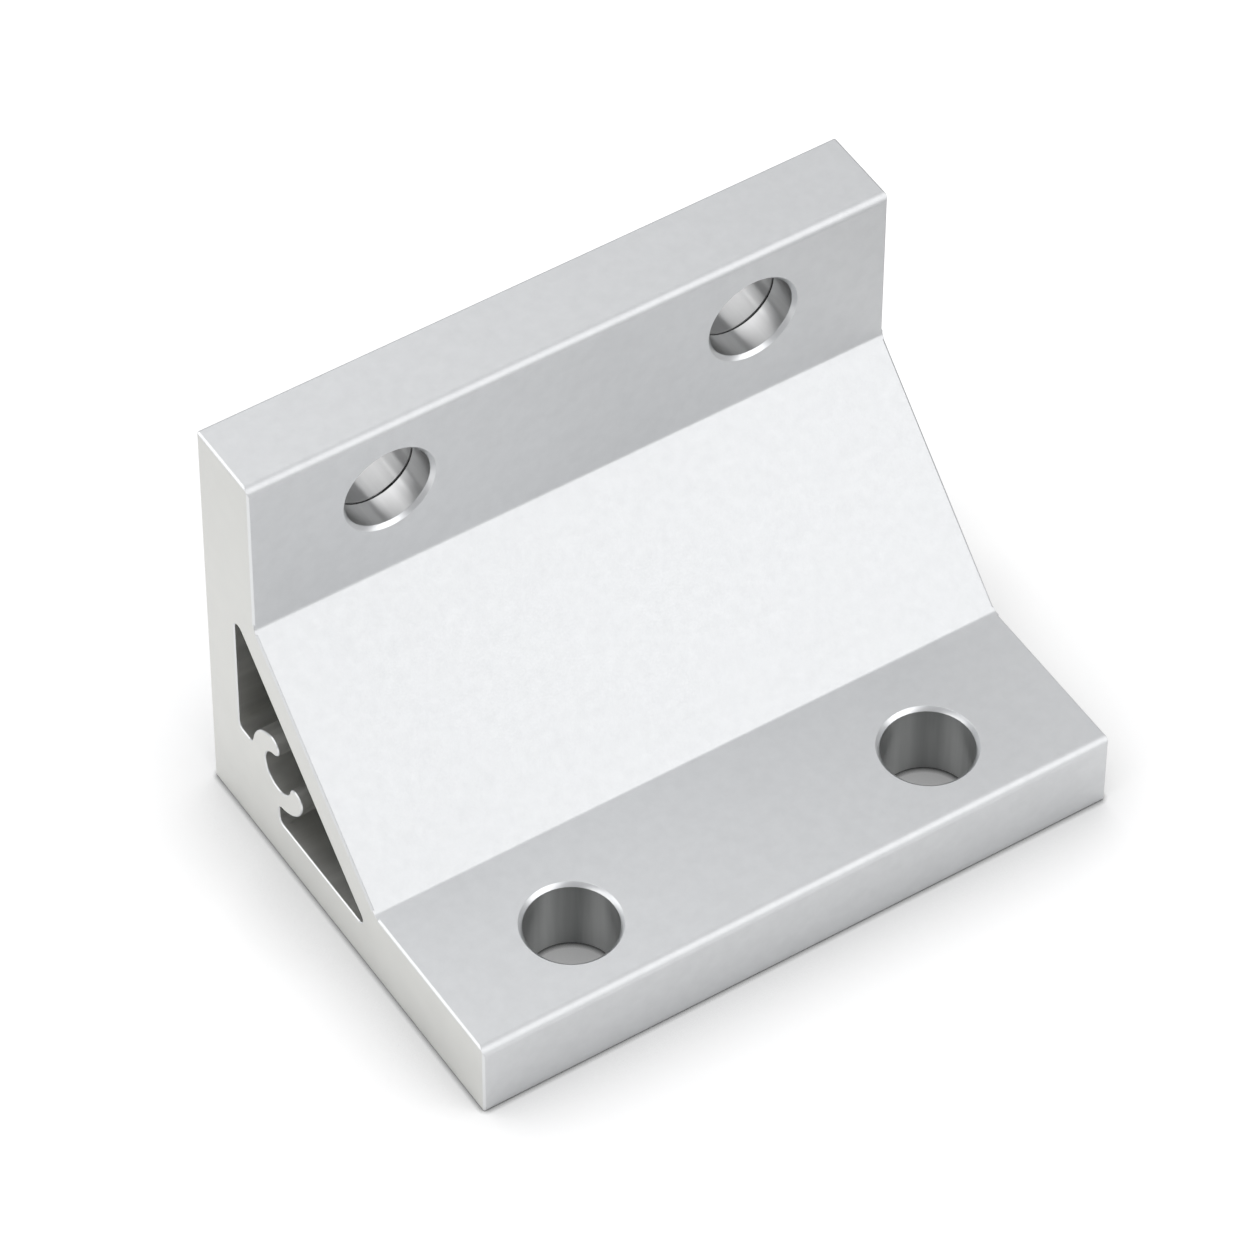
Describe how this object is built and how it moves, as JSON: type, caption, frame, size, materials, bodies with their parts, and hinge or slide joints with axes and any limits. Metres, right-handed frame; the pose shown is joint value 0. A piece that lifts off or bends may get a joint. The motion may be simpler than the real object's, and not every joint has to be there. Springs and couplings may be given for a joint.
{
  "type": "corner bracket",
  "caption": "Right-angle bracket cut from extruded aluminium, with a hollow sloped web, a screw channel in its heel and bolt holes through both legs.",
  "frame": {"origin": "middle of the heel edge, where the underside and the back face meet", "axes": "+X along the extrusion, the base leg reaches towards -Y, the upright leg stands along +Z"},
  "size_m": [0.07, 0.0485, 0.0485],
  "materials": {
    "anodised_aluminium": "extruded and satin anodised in its natural colour, with sawn ends and drilled holes"
  },
  "bodies": {
    "root": {"bracket": "anodised_aluminium"}
  },
  "joints": []
}
